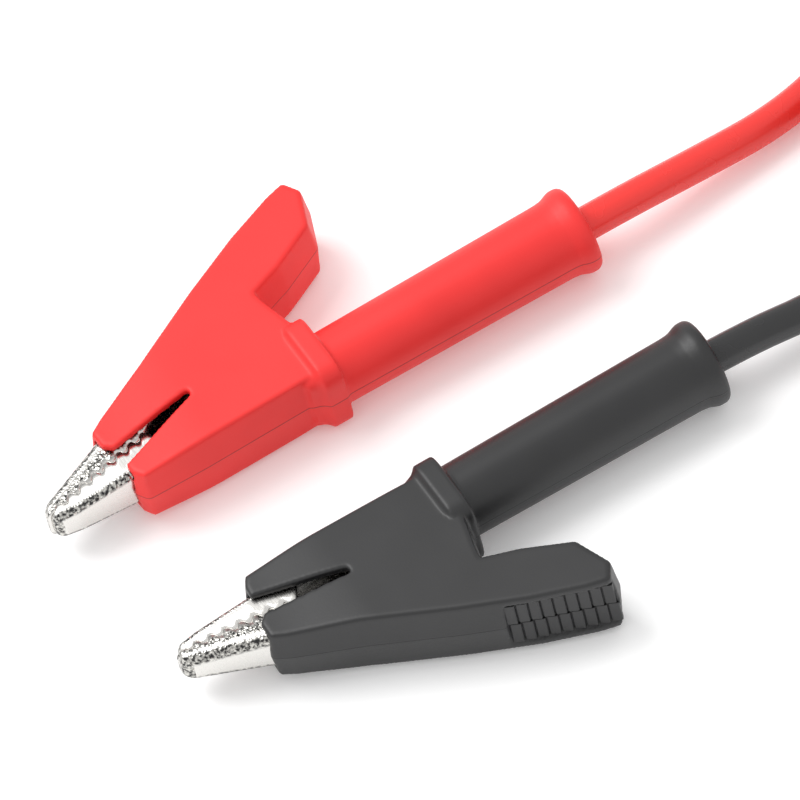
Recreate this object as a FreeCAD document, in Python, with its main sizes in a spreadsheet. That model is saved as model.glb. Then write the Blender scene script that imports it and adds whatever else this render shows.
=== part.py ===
import FreeCAD, Part
import math
import os

import Sketcher
from FreeCAD import Placement, Rotation, Vector

# Alligator clip lead: a red and a black test lead. Each lead has a shrouded alligator clip at one
# end, and both end in one moulded twin banana plug.
#
# World frame: +X runs along both clips towards their cords, +Z is up, and the clips lie on their
# sides on the plane z = 0. The origin is under the middle of the two clips.
# Clip frame: +X along the boot's neck, +Y towards the lever, z = 0 in the clip's middle plane,
# and the origin on the neck's axis. The red clip stands in the world as it is drawn, and the black
# one is turned half a turn about its own X, which puts its lever on the other side.
# Plug frame: +X along the pins, z = 0 in the plane of the two pins.

doc = FreeCAD.newDocument("ClipLead")
sheet = doc.addObject("Spreadsheet::Sheet", "Sizes")

SIZES = {
    # cord
    "cord_radius": 2.0,
    "conductor_radius": 1.5,
    # boot, the soft shroud of a clip
    "boot_half_mouth": 3.7,
    "boot_half_body": 4.45,
    "boot_mouth_x": -22.0,
    "boot_full_x": -8.0,
    "boot_end_x": 18.0,
    "boot_draft_room": 0.5,
    "boot_wall": 1.0,
    "boot_draft": 6.0,
    "neck_start": 5.1,
    "neck_radius_front": 4.3,
    "neck_radius_rear": 4.55,
    "neck_straight_end": 37.9,
    "flange_radius": 5.1,
    "flange_rise_end": 39.7,
    "flange_round_start": 40.5,
    "neck_end": 41.2,
    "neck_face_radius": 4.5,
    "neck_bore_radius": 2.05,
    "neck_bore_start": 12.5,
    "collar_length": 2.4,
    "collar_low": -4.6,
    "collar_width": 10.0,
    "collar_corner": 2.6,
    "barrel_room_radius": 2.4,
    "barrel_room_start": 3.5,
    "through": 40.0,
    # jaws, bent from sheet steel
    "sheet": 0.7,
    "jaw_half_nose": 1.95,
    "jaw_half_mouth": 2.75,
    "jaw_half_pivot": 3.05,
    "lever_half": 2.3,
    "jaw_nose_x": -28.0,
    "jaw_mouth_x": -18.5,
    "jaw_full_x": -8.0,
    "jaw_end_x": 6.0,
    "tooth_pitch": 1.73,
    "tooth_height": 0.8,
    "tooth_gap": 0.12,
    "barrel_radius": 2.3,
    "barrel_bore": 1.55,
    "barrel_start": 4.6,
    "barrel_length": 7.3,
    # pivot and spring
    "pivot_x": -1.5,
    "pivot_y": 6.3,
    "rivet_radius": 0.9,
    "rivet_half": 3.05,
    "rivet_head_radius": 1.5,
    "rivet_head": 0.33,
    "lever_hole_radius": 0.95,
    "fixed_ear_radius": 2.6,
    "lever_ear_radius": 2.4,
    "boss_radius": 3.2,
    "boss_room_radius": 3.5,
    "spring_bore": 1.05,
    "spring_radius": 1.75,
    "spring_half": 1.45,
    "spring_wire": 0.3,
    "fixed_leg_x": 3.6,
    "fixed_leg_y": 0.4,
    "lever_leg_x": 5.4,
    "lever_leg_y": 15.9,
    # places of the clips
    "red_x": -7.82,
    "red_y": 12.1,
    "black_x": -5.58,
    "black_y": -12.1,
    "axis_height": 5.1,
    # coils of put-away cord
    "coil_x": 96.0,
    "coil_y": 0.0,
    "coil_inner": 18.0,
    "coil_outer": 30.0,
    "coil_height": 8.0,
    "coil_corner": 1.9,
    "tie_width": 5.0,
    "tie_thickness": 0.9,
    "tie_slack": 0.35,
    # twin banana plug
    "plug_x": 154.5,
    "plug_y": 0.0,
    "plug_z": 6.5,
    "pin_pitch": 19.05,
    "plug_length": 24.0,
    "plug_width": 37.0,
    "plug_half": 6.5,
    "plug_corner": 4.0,
    "room_gap": 0.05,
    "end_gap": 0.1,
    "contact_radius": 3.0,
    "contact_start": 3.2,
    "contact_length": 17.3,
    "contact_end_gap": 0.3,
    "wire_well": 8.0,
    "wire_length": 7.5,
    "pin_collar_radius": 3.6,
    "pin_collar_length": 2.4,
    "pin_shoulder_radius": 2.6,
    "pin_shoulder_proud": 0.3,
    "pin_radius": 2.0,
    "pin_length": 16.0,
    "pin_core_radius": 1.0,
    "pin_slot": 0.5,
    "pin_slot_start": 3.0,
    "pin_slot_end": 2.0,
    "pin_tip": 0.8,
    "relief_length": 11.0,
    "relief_root_radius": 4.0,
    "relief_tip_radius": 2.9,
    "relief_neck": 1.0,
    "relief_bead_radius": 4.7,
    "relief_bead_length": 1.4,
    "relief_bead_start": 0.95,
    "clamp_screw_radius": 1.25,
    "clamp_screw_length": 2.6,
    "clamp_screw_x": 8.0,
    "clamp_screw_z": 1.5,
    "clamp_slot_width": 0.4,
    "clamp_slot_depth": 0.6,
    "screw_1_x": 6.5,
    "screw_2_x": 17.5,
    "screw_radius": 1.25,
    "screw_room": 0.1,
    "screw_head_radius": 2.3,
    "screw_head": 1.4,
    "screw_sink": 0.2,
    "screw_slot_width": 0.6,
    "screw_slot_depth": 0.7,
    "screw_length": 9.0,
    "tab_length": 9.0,
    "tab_start": 10.0,
    "tab_thickness": 1.6,
    "tab_stand": 1.5,
    "tab_low": 0.8,
    "tab_high": 0.7,
}

# Corners of the outlines, in millimetres. Boot and jaw corners are in the clip frame.
CORNERS = {
    "boot_body_outline": [
        (-18.4, 0.1), (-17.6, -2.7), (-16.1, -3.3), (7.3, -3.4), (7.3, 5.3), (6.2, 7.2),
        (5.5, 9.2), (1.5, 7.5), (-1.5, 6.15), (-7.6, 3.4),
    ],
    "boot_body_hollow": [
        (-20.0, -1.35), (2.0, -1.35), (3.2, -2.3), (4.9, -2.3), (4.9, 5.0), (4.2, 8.2),
        (4.0, 12.0), (-4.0, 12.0), (-20.0, 3.6),
    ],
    "boot_lever_outline": [
        (-17.7, 2.4), (-7.6, 4.1), (-1.5, 6.45), (0.96, 8.8), (4.1, 12.0), (5.1, 10.7),
        (14.7, 14.9), (16.7, 20.2), (15.1, 22.9), (6.4, 19.7), (-0.9, 16.0), (-17.6, 7.3),
        (-19.5, 6.2), (-19.4, 3.6),
    ],
    "boot_lever_hollow": [
        (-21.0, -2.0), (-8.0, 1.0), (2.0, 8.0), (4.5, 12.5), (13.4, 16.0), (14.9, 20.0),
        (14.1, 21.1), (6.0, 18.05), (-1.5, 14.25), (-21.0, 4.45),
    ],
    "fixed_jaw_rear": [
        (-13.0, 0.7), (-6.5, 2.2), (-3.6, 4.3), (-1.5, 6.3), (0.8, 5.2), (3.5, 3.0),
        (4.8, 2.0), (4.8, -2.0), (2.0, -1.25), (-26.8, -1.25), (-27.8, -0.85),
    ],
    "fixed_jaw_channel": [(-26.9, -0.55), (5.6, -0.55), (5.6, 12.0), (-26.9, 12.0)],
    "lever_jaw_back": [(-12.6, 4.6), (-6.0, 7.2), (-6.0, 11.85), (-27.2, 1.2), (-27.8, 0.7)],
    "lever_jaw_channel": [(-26.9, 0.57), (-5.0, 11.57), (-5.0, -6.0), (-26.9, -6.0)],
    "lever_tail": [
        (-8.5, 6.6), (-3.4, 5.4), (-1.5, 6.3), (0.3, 8.1), (3.9, 12.4), (12.8, 16.9),
        (13.5, 20.7), (6.0, 17.9), (-1.5, 14.1), (-8.5, 10.6),
    ],
    "lever_tail_channel": [
        (-9.0, 9.55), (-1.5, 13.32), (6.0, 17.12), (14.5, 20.35), (14.5, 0.0), (-9.0, 0.0),
    ],
}

# Hand-chosen points of the cords' routes in the world frame: x, y, z in millimetres.
ROUTES = {
    "red_cord": [
        (26.68, 12.1, 5.1), (36.9, 12.1, 5.1), (47.3, 12.9, 3.6), (57.8, 13.9, 2.4),
        (67.6, 16.5, 2.4), (76.3, 21.1, 2.95),
    ],
    "black_cord": [
        (28.92, -12.1, 5.1), (38.5, -12.1, 5.1), (48.2, -12.5, 3.8), (57.8, -13.4, 6.3),
        (67.6, -16.4, 10.4), (76.8, -21.2, 11.0),
    ],
    "red_cord_tail": [
        (112.5, 22.6, 6.0), (118.6, 17.2, 6.1), (127.5, 12.2, 6.3), (137.5, 9.525, 6.5),
        (147.5, 9.525, 6.5),
    ],
    "black_cord_tail": [
        (112.5, -22.6, 14.6), (118.6, -17.5, 13.2), (126.5, -12.9, 9.8), (137.5, -9.525, 6.5),
        (147.5, -9.525, 6.5),
    ],
}

ARC_SHARE = 0.45  # how much of the shorter run beside a corner its arc may take
TOOTH_COUNT = 7
TEETH_START_X = -26.4
CLOSING_SLOPE = 0.19  # the line along which the jaws close, rise over run
CLOSING_ZERO_X = -26.6  # and where it crosses the neck's axis

row = 0


def cell(alias, value):
    """Put one driving size in the sheet."""
    global row
    row += 1
    sheet.set(f"A{row}", alias)
    sheet.set(f"B{row}", str(value))
    sheet.setAlias(f"B{row}", alias)


def size(alias):
    return float(sheet.get(alias))


for size_name, size_value in SIZES.items():
    cell(size_name, size_value)
doc.recompute()


def bind(thing, **expressions):
    """Bind properties of an object to expressions in the sheet's aliases."""
    for prop, expression in expressions.items():
        thing.setExpression(prop, expression)
    return thing


def plane(body, role):
    return next(part for part in body.Origin.OriginFeatures if part.Role == role)


drawn = set()


def outline(body, name, corners, role="XY_Plane"):
    """A closed sketch of straight lines whose corners are held by the sheet's cells."""
    sketch = body.newObject("Sketcher::SketchObject", name)
    sketch.AttachmentSupport = [(plane(body, role), "")]
    sketch.MapMode = "FlatFace"
    last = len(corners) - 1
    points = [Vector(x, y, 0) for x, y in corners]
    for i, start in enumerate(points):
        sketch.addGeometry(Part.LineSegment(start, points[0 if i == last else i + 1]))
    for i in range(len(points)):
        following = 0 if i == last else i + 1
        sketch.addConstraint(Sketcher.Constraint("Coincident", i, 2, following, 1))
    for i, start in enumerate(points):
        for kind, value in (("DistanceX", start.x), ("DistanceY", start.y)):
            alias = f"{name}_{i + 1}_{kind[-1].lower()}"
            if name not in drawn:
                cell(alias, round(value, 4))
            index = sketch.addConstraint(Sketcher.Constraint(kind, -1, 1, i, 1, value))
            sketch.setExpression(f"Constraints[{index}]", f"Sizes.{alias}")
    drawn.add(name)
    return sketch


def slab(name, corners, height, taper=None, role="XY_Plane"):
    """A body: an outline padded the same distance up and down from its plane, with draft if given."""
    body = doc.addObject("PartDesign::Body", "Body")
    sketch = outline(body, name, corners, role)
    pad = body.newObject("PartDesign::Pad", "Pad")
    pad.Profile = sketch
    if taper is None:
        pad.SideType = "Symmetric"
        bind(pad, Length=f"2 * {height}")
        body.Tip = pad
        return body
    bind(pad, Length=height, TaperAngle=taper)
    mirrored = body.newObject("PartDesign::Mirrored", "Mirrored")
    mirrored.Originals = [pad]
    mirrored.MirrorPlane = (plane(body, role), [""])
    body.Tip = mirrored
    return body


def cylinder(radius, length, x="0", y="0", z="0", along="z"):
    """A cylinder that starts at x, y, z and runs along one axis."""
    turns = {
        "x": Rotation(Vector(0, 1, 0), 90),
        "y": Rotation(Vector(1, 0, 0), -90),
        "z": Rotation(),
    }
    solid = doc.addObject("Part::Cylinder", "Cylinder")
    solid.Placement = Placement(Vector(), turns[along])
    bind(solid, Radius=radius, Height=length)
    return bind(solid, **{".Placement.Base.x": x, ".Placement.Base.y": y, ".Placement.Base.z": z})


def box(length, width, height, x="0", y="0", z="0"):
    solid = doc.addObject("Part::Box", "Box")
    bind(solid, Length=length, Width=width, Height=height)
    return bind(solid, **{".Placement.Base.x": x, ".Placement.Base.y": y, ".Placement.Base.z": z})


def fuse(*solids):
    joined = doc.addObject("Part::MultiFuse", "Fuse")
    joined.Shapes = list(solids)
    joined.Refine = True
    return joined


def cut(base, *tools):
    result = doc.addObject("Part::Cut", "Cut")
    result.Base = base
    result.Tool = tools[0] if len(tools) == 1 else fuse(*tools)
    return result


def common(first, second):
    shared = doc.addObject("Part::Common", "Common")
    shared.Base = first
    shared.Tool = second
    return shared


def rounded(solid, radius, edges):
    """Round chosen edges of a solid, by their numbers."""
    doc.recompute()
    fillet = doc.addObject("Part::Fillet", "Fillet")
    fillet.Base = solid
    fillet.Edges = [(number, size(radius), size(radius)) for number in edges]
    return fillet


def revolved(name, corners):
    """A body turned about the X axis from an outline of x and radius."""
    body = doc.addObject("PartDesign::Body", "Body")
    sketch = outline(body, name, corners)
    turn = body.newObject("PartDesign::Revolution", "Revolution")
    turn.Profile = sketch
    turn.ReferenceAxis = (next(p for p in body.Origin.OriginFeatures if p.Role == "X_Axis"), [""])
    turn.Angle = 360
    body.Tip = turn
    return body


def taper_wedge(name, stations):
    """A long wedge seen from the side: stations are x and half height."""
    upper = [(x, z) for x, z in stations]
    lower = [(x, -z) for x, z in reversed(stations)]
    body = doc.addObject("PartDesign::Body", "Body")
    sketch = outline(body, name, upper + lower, "XZ_Plane")
    pad = body.newObject("PartDesign::Pad", "Pad")
    pad.Profile = sketch
    pad.SideType = "Symmetric"
    bind(pad, Length="2 * Sizes.through")
    body.Tip = pad
    return body


nodes = []


def clip_node(solid, lead, label):
    """Name a finished piece of a clip and put it where its lead's clip lies."""
    solid.Label = f"{lead}_{label}"
    turn = Rotation() if lead == "red" else Rotation(Vector(1, 0, 0), 180)
    solid.Placement = Placement(Vector(), turn)
    bind(solid, **{
        ".Placement.Base.x": f"Sizes.{lead}_x",
        ".Placement.Base.y": f"Sizes.{lead}_y",
        ".Placement.Base.z": "Sizes.axis_height",
    })
    nodes.append(solid)


def plug_node(solid, label):
    """Name a finished piece of the plug and put it where the plug lies."""
    solid.Label = label
    bind(solid, **{
        ".Placement.Base.x": "Sizes.plug_x",
        ".Placement.Base.y": "Sizes.plug_y",
        ".Placement.Base.z": "Sizes.plug_z",
    })
    nodes.append(solid)


def shape_node(shape, label, placement=None):
    """A piece whose shape is worked out from the sheet's sizes by Part's own functions."""
    solid = doc.addObject("Part::Feature", label)
    solid.Shape = shape
    if placement:
        solid.Placement = placement
    solid.Label = label
    nodes.append(solid)
    return solid


# ---------------------------------------------------------------- boot


def boot_wedge(name, inset):
    mouth = size("boot_half_mouth") - inset
    full = size("boot_half_body") - inset
    return taper_wedge(name, [
        (size("boot_mouth_x"), mouth), (size("boot_full_x"), full), (size("boot_end_x"), full),
    ])


def boot_shell(part):
    """One half of the hollow boot: the drafted outline less the room for its jaw."""
    outer = slab(f"{part}_outline", CORNERS[f"{part}_outline"],
                 "Sizes.boot_half_body + Sizes.boot_draft_room", "-Sizes.boot_draft")
    hollow = slab(f"{part}_hollow", CORNERS[f"{part}_hollow"], "Sizes.boot_half_body")
    inner = common(hollow, boot_wedge("boot_inner_side", size("boot_wall")))
    return cut(common(outer, boot_wedge("boot_outer_side", 0.0)), inner)


def boot_body(lead):
    """The fixed half of the boot: jaw cover, body, collar, neck and end flange."""
    boss = cylinder("Sizes.boss_radius", "2 * Sizes.boot_half_body", "Sizes.pivot_x",
                    "Sizes.pivot_y", "-Sizes.boot_half_body")
    boss_room = cylinder("Sizes.boss_radius", "2 * (Sizes.boot_half_body - Sizes.boot_wall)",
                         "Sizes.pivot_x", "Sizes.pivot_y",
                         "Sizes.boot_wall - Sizes.boot_half_body")
    collar = rounded(
        box("Sizes.collar_length", "Sizes.collar_width", "2 * Sizes.flange_radius",
            "Sizes.neck_start", "Sizes.collar_low", "-Sizes.flange_radius"),
        "collar_corner", (9, 10, 11, 12),
    )
    neck = revolved("neck_outline", [
        (size("neck_start"), 0.0),
        (size("neck_start"), size("neck_radius_front")),
        (size("neck_straight_end"), size("neck_radius_rear")),
        (size("flange_rise_end"), size("flange_radius")),
        (size("flange_round_start"), size("flange_radius")),
        (size("neck_end"), size("neck_face_radius")),
        (size("neck_end"), 0.0),
    ])
    barrel_room = cylinder("Sizes.barrel_room_radius",
                           "Sizes.neck_bore_start - Sizes.barrel_room_start",
                           "Sizes.barrel_room_start", along="x")
    bore = cylinder("Sizes.neck_bore_radius", "Sizes.through", "Sizes.neck_bore_start", along="x")
    solid = cut(fuse(cut(fuse(boot_shell("boot_body"), boss), boss_room), collar, neck),
                barrel_room, bore)
    clip_node(solid, lead, "boot_body")


def boot_lever(lead):
    """The moving half of the boot: upper jaw cover and thumb lever."""
    room = cylinder("Sizes.boss_room_radius", "Sizes.through", "Sizes.pivot_x",
                    "Sizes.pivot_y", "-Sizes.through / 2")
    clip_node(cut(boot_shell("boot_lever"), room), lead, "boot_lever")


# ---------------------------------------------------------------- jaws


def jaw_wedge(name, inset):
    nose = size("jaw_half_nose") - inset
    mouth = size("jaw_half_mouth") - inset
    pivot = size("jaw_half_pivot") - inset
    return taper_wedge(name, [
        (size("jaw_nose_x"), nose), (size("jaw_mouth_x"), mouth), (size("jaw_full_x"), pivot),
        (size("jaw_end_x"), pivot),
    ])


def teeth(side):
    """The toothed edge of a jaw from the nose to the last tooth; side is -1 or +1 of the gap."""
    angle = math.atan(CLOSING_SLOPE)
    along = Vector(math.cos(angle), math.sin(angle), 0)
    across = Vector(-math.sin(angle), math.cos(angle), 0)
    start = Vector(TEETH_START_X, CLOSING_SLOPE * (TEETH_START_X - CLOSING_ZERO_X), 0)
    nose_x = CORNERS["fixed_jaw_rear"][-1][0]
    gap = side * size("tooth_gap") / 2
    edge = [(nose_x, CLOSING_SLOPE * (nose_x - CLOSING_ZERO_X) + gap)]
    for i in range(2 * TOOTH_COUNT + 1):
        lift = (0.5 if i % 2 else -0.5) * size("tooth_height")
        point = start + along * (i * size("tooth_pitch") / 2) + across * (lift + gap)
        edge.append((round(point.x, 3), round(point.y, 3)))
    return edge


def fixed_jaw(lead):
    """The fixed jaw: a toothed channel with pivot ears, and a barrel crimped on the conductor."""
    side = slab("fixed_jaw_side", teeth(-1) + CORNERS["fixed_jaw_rear"], "Sizes.jaw_half_pivot")
    ear = cylinder("Sizes.fixed_ear_radius", "2 * Sizes.jaw_half_pivot", "Sizes.pivot_x",
                   "Sizes.pivot_y", "-Sizes.jaw_half_pivot")
    room = slab("fixed_jaw_channel", CORNERS["fixed_jaw_channel"], "Sizes.jaw_half_pivot")
    channel = common(room, jaw_wedge("jaw_inner_side", size("sheet")))
    hole = cylinder("Sizes.rivet_radius", "Sizes.through", "Sizes.pivot_x",
                    "Sizes.pivot_y", "-Sizes.through / 2")
    barrel = cylinder("Sizes.barrel_radius", "Sizes.barrel_length", "Sizes.barrel_start",
                      along="x")
    bore = cylinder("Sizes.barrel_bore", "2 * Sizes.barrel_length", "Sizes.barrel_start - 2",
                    along="x")
    jaw = cut(common(fuse(side, ear), jaw_wedge("jaw_outer_side", 0.0)), channel, hole)
    clip_node(cut(fuse(jaw, barrel), bore), lead, "fixed_jaw")


def lever_jaw(lead):
    """The moving jaw: a toothed channel whose narrower tail is the lever under the boot."""
    side = slab("lever_jaw_side", teeth(+1) + CORNERS["lever_jaw_back"], "Sizes.jaw_half_pivot")
    room = slab("lever_jaw_channel", CORNERS["lever_jaw_channel"], "Sizes.jaw_half_pivot")
    front = cut(common(side, jaw_wedge("jaw_outer_side", 0.0)),
                common(room, jaw_wedge("jaw_inner_side", size("sheet"))))
    tail = slab("lever_tail", CORNERS["lever_tail"], "Sizes.lever_half")
    ear = cylinder("Sizes.lever_ear_radius", "2 * Sizes.lever_half", "Sizes.pivot_x",
                   "Sizes.pivot_y", "-Sizes.lever_half")
    tail_room = slab("lever_tail_channel", CORNERS["lever_tail_channel"],
                     "(Sizes.lever_half - Sizes.sheet)")
    hole = cylinder("Sizes.lever_hole_radius", "Sizes.through", "Sizes.pivot_x",
                    "Sizes.pivot_y", "-Sizes.through / 2")
    clip_node(fuse(front, cut(fuse(tail, ear), tail_room, hole)), lead, "lever_jaw")


def rivet(lead):
    """The pivot rivet, held in the fixed jaw's ears."""
    shank = cylinder("Sizes.rivet_radius", "2 * Sizes.rivet_half", "Sizes.pivot_x",
                     "Sizes.pivot_y", "-Sizes.rivet_half")
    heads = [
        cylinder("Sizes.rivet_head_radius", "Sizes.rivet_head", "Sizes.pivot_x",
                 "Sizes.pivot_y", start)
        for start in ("Sizes.rivet_half", "-Sizes.rivet_half - Sizes.rivet_head")
    ]
    clip_node(fuse(shank, *heads), lead, "pivot_rivet")


def spring(lead):
    """The torsion spring: a wound middle round the rivet and two legs that push the jaws shut."""
    centre = Vector(size("pivot_x"), size("pivot_y"), 0)
    half = size("spring_half")
    wire = size("spring_wire")
    up = Vector(0, 0, 1)
    coil = Part.makeCylinder(size("spring_radius"), 2 * half, centre - up * half, up)
    bore = Part.makeCylinder(size("spring_bore"), 2 * half, centre - up * half, up)
    mean = (size("spring_radius") + size("spring_bore")) / 2
    legs = []
    for start, end, level in (
        (centre + Vector(0, -mean, 0), Vector(size("fixed_leg_x"), size("fixed_leg_y"), 0),
         -half / 2),
        (centre + Vector(0, mean, 0), Vector(size("lever_leg_x"), size("lever_leg_y"), 0),
         half / 2),
    ):
        run = end - start
        legs.append(Part.makeCylinder(wire, run.Length, start + up * level, run))
    shape = coil.cut(bore)
    for leg in legs:
        shape = shape.fuse(leg)
    turn = Rotation() if lead == "red" else Rotation(Vector(1, 0, 0), 180)
    place = Vector(size(f"{lead}_x"), size(f"{lead}_y"), size("axis_height"))
    shape_node(shape.removeSplitter(), f"{lead}_jaw_spring", Placement(place, turn))


def conductor(lead):
    """The stripped strands in the crimp barrel."""
    strands = cylinder("Sizes.conductor_radius", "Sizes.neck_bore_start - Sizes.barrel_start",
                       "Sizes.barrel_start", along="x")
    clip_node_turned(strands, lead, "conductor")


def cord_root(lead):
    """The insulated stretch of the cord inside the boot's neck."""
    start = ROUTES[f"{lead}_cord"][0][0] - size(f"{lead}_x")
    root = cylinder("Sizes.cord_radius", f"{start} - Sizes.neck_bore_start",
                    "Sizes.neck_bore_start", along="x")
    clip_node_turned(root, lead, "cord_root")


def clip_node_turned(solid, lead, label):
    """As clip_node, for a cylinder on the neck's axis, which keeps its own turn and start."""
    start = dict(solid.ExpressionEngine)[".Placement.Base.x"]
    solid.Label = f"{lead}_{label}"
    bind(solid, **{
        ".Placement.Base.x": f"Sizes.{lead}_x + {start}",
        ".Placement.Base.y": f"Sizes.{lead}_y",
        ".Placement.Base.z": "Sizes.axis_height",
    })
    nodes.append(solid)


# ---------------------------------------------------------------- cords


def rounded_path(name, points):
    """Straight runs joined by tangent arcs, as one wire. Each arc takes ARC_SHARE of the shorter run."""
    corners = [Vector(*point) for point in points]
    edges = []
    radii = []
    at = corners[0]
    for before, corner, after in zip(corners, corners[1:], corners[2:]):
        back = before - corner
        ahead = after - corner
        trim = ARC_SHARE * min(back.Length, ahead.Length)
        turn = math.pi - back.getAngle(ahead)
        radii.append(trim / math.tan(turn / 2))
        start = corner + Vector(back).normalize() * trim
        end = corner + Vector(ahead).normalize() * trim
        inward = (Vector(back).normalize() + Vector(ahead).normalize()).normalize()
        depth = radii[-1] * (1 / math.cos(turn / 2) - 1)
        edges.append(Part.LineSegment(at, start).toShape())
        edges.append(Part.Arc(start, corner + inward * depth, end).toShape())
        at = end
    edges.append(Part.LineSegment(at, corners[-1]).toShape())
    print(name, "radii", " ".join(f"{radius:.1f}" for radius in radii))
    return Part.Wire(edges)


def cord_tube(name):
    """One stretch of a cord, and a check of its volume against section times length."""
    path = rounded_path(name, ROUTES[name])
    radius = size("cord_radius")
    start = path.Edges[0]
    circle = Part.Wire(Part.makeCircle(radius, start.valueAt(start.FirstParameter),
                                       start.tangentAt(start.FirstParameter)))
    tube = path.makePipeShell([circle], True, True)
    expected = math.pi * radius ** 2 * path.Length
    if abs(tube.Volume / expected - 1) > 0.01:
        raise ValueError(f"{name} is {tube.Volume:.0f} mm3, and should be {expected:.0f}")
    print(name, f"length {path.Length:.1f}")
    shape_node(tube, name)


def coil(lead, layer):
    """The wound length of one cord as a ring with rounded edges."""
    inner = size("coil_inner")
    outer = size("coil_outer")
    height = size("coil_height")
    corner = size("coil_corner")
    place = Vector(size("coil_x"), size("coil_y"), size("tie_thickness") + layer * height)
    up = Vector(0, 0, 1)
    ring = Part.makeCylinder(outer, height, place, up).cut(
        Part.makeCylinder(inner, height, place, up))
    rims = [edge for edge in ring.Edges if isinstance(edge.Curve, Part.Circle)]
    shape_node(ring.makeFillet(corner, rims), f"{lead}_coil")


def coil_tie(number, angle):
    """A flat strap round both coils."""
    slack = size("tie_slack")
    thickness = size("tie_thickness")
    width = size("tie_width")
    inner = size("coil_inner")
    outer = size("coil_outer")
    top = thickness + 2 * size("coil_height")
    corner = size("coil_corner")

    def loop(grow, low):
        block = Part.makeBox(outer - inner + 2 * grow, width, top + grow - low,
                             Vector(inner - grow, -width / 2, low))
        along_y = [edge for edge in block.Edges if abs(edge.tangentAt(0).y) > 0.9]
        return block.makeFillet(corner, along_y)

    strap = loop(slack + thickness, 0.0).cut(loop(slack, thickness))
    strap.rotate(Vector(), Vector(0, 0, 1), angle)
    strap.translate(Vector(size("coil_x"), size("coil_y"), 0))
    shape_node(strap, f"coil_tie_{number}")


# ---------------------------------------------------------------- plug


def plug_half(label, side):
    """One half of the plug's housing, with rooms for contacts, pin collars, beads and screws."""
    low = "0" if side > 0 else "-Sizes.plug_half"
    block = rounded(
        box("Sizes.plug_length", "Sizes.plug_width", "Sizes.plug_half", "0",
            "-Sizes.plug_width / 2", low),
        "plug_corner", (1, 3, 5, 7),
    )
    tools = []
    for across in (-1, 1):
        y = f"{across} * Sizes.pin_pitch / 2"
        tools += [
            cylinder("Sizes.contact_radius + Sizes.room_gap",
                     "Sizes.contact_length + Sizes.contact_end_gap",
                     "Sizes.contact_start - Sizes.contact_end_gap", y, along="x"),
            cylinder("Sizes.pin_collar_radius + Sizes.room_gap",
                     "Sizes.pin_collar_length + Sizes.end_gap",
                     "Sizes.contact_start + Sizes.contact_length", y, along="x"),
            cylinder("Sizes.relief_root_radius + Sizes.room_gap", "2 * Sizes.relief_neck",
                     "-Sizes.relief_neck", y, along="x"),
            cylinder("Sizes.relief_bead_radius + Sizes.room_gap",
                     "Sizes.relief_bead_length + Sizes.end_gap",
                     "Sizes.relief_bead_start - Sizes.end_gap / 2", y, along="x"),
            cylinder("Sizes.pin_shoulder_radius + Sizes.room_gap", "Sizes.through",
                     "Sizes.plug_length - Sizes.pin_collar_length", y, along="x"),
            cylinder("Sizes.cord_radius + Sizes.room_gap", "Sizes.contact_start", "0", y,
                     along="x"),
        ]
        if side > 0:
            tools.append(cylinder("Sizes.clamp_screw_radius + 2 * Sizes.screw_room",
                                  "Sizes.clamp_screw_length + 2 * Sizes.screw_room",
                                  "Sizes.clamp_screw_x", y, "Sizes.clamp_screw_z"))
    for number in (1, 2):
        x = f"Sizes.screw_{number}_x"
        if side > 0:
            tools.append(cylinder("Sizes.screw_radius + Sizes.screw_room", "Sizes.through", x))
            tools.append(cylinder("Sizes.screw_head_radius + Sizes.screw_room",
                                  "Sizes.screw_head + Sizes.screw_sink", x, "0",
                                  "Sizes.plug_half - Sizes.screw_head - Sizes.screw_sink"))
        else:
            pilot = "(Sizes.screw_length + Sizes.screw_head + Sizes.screw_sink - Sizes.plug_half)"
            tools.append(cylinder("Sizes.screw_radius", f"{pilot} + Sizes.end_gap", x, "0",
                                  f"-{pilot} - Sizes.end_gap"))
    solid = cut(block, *tools)
    if side < 0:
        tab = box("Sizes.tab_length", "Sizes.tab_thickness",
                  "Sizes.plug_half - Sizes.tab_low - Sizes.tab_high", "Sizes.tab_start",
                  "-Sizes.plug_width / 2 - Sizes.tab_stand", "Sizes.tab_low - Sizes.plug_half")
        solid = fuse(solid, tab)
    plug_node(solid, label)


def plug_screws():
    """Two pan-head screws that hold the housing halves together."""
    for number in (1, 2):
        x = f"Sizes.screw_{number}_x"
        top = "Sizes.plug_half - Sizes.screw_head - Sizes.screw_sink"
        head = cylinder("Sizes.screw_head_radius", "Sizes.screw_head", x, "0", top)
        shank = cylinder("Sizes.screw_radius", "Sizes.screw_length", x, "0",
                         f"{top} - Sizes.screw_length")
        slot = box("2 * Sizes.screw_head_radius", "Sizes.screw_slot_width",
                   "Sizes.screw_head", f"{x} - Sizes.screw_head_radius",
                   "-Sizes.screw_slot_width / 2",
                   "Sizes.plug_half - Sizes.screw_sink - Sizes.screw_slot_depth")
        plug_node(cut(fuse(head, shank), slot), f"plug_screw_{number}")


def cone(start_radius, end_radius, length, x, y):
    """A cone whose axis runs along +X."""
    solid = doc.addObject("Part::Cone", "Cone")
    solid.Placement = Placement(Vector(), Rotation(Vector(0, 1, 0), 90))
    bind(solid, Radius1=start_radius, Radius2=end_radius, Height=length)
    return bind(solid, **{".Placement.Base.x": x, ".Placement.Base.y": y})


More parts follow.
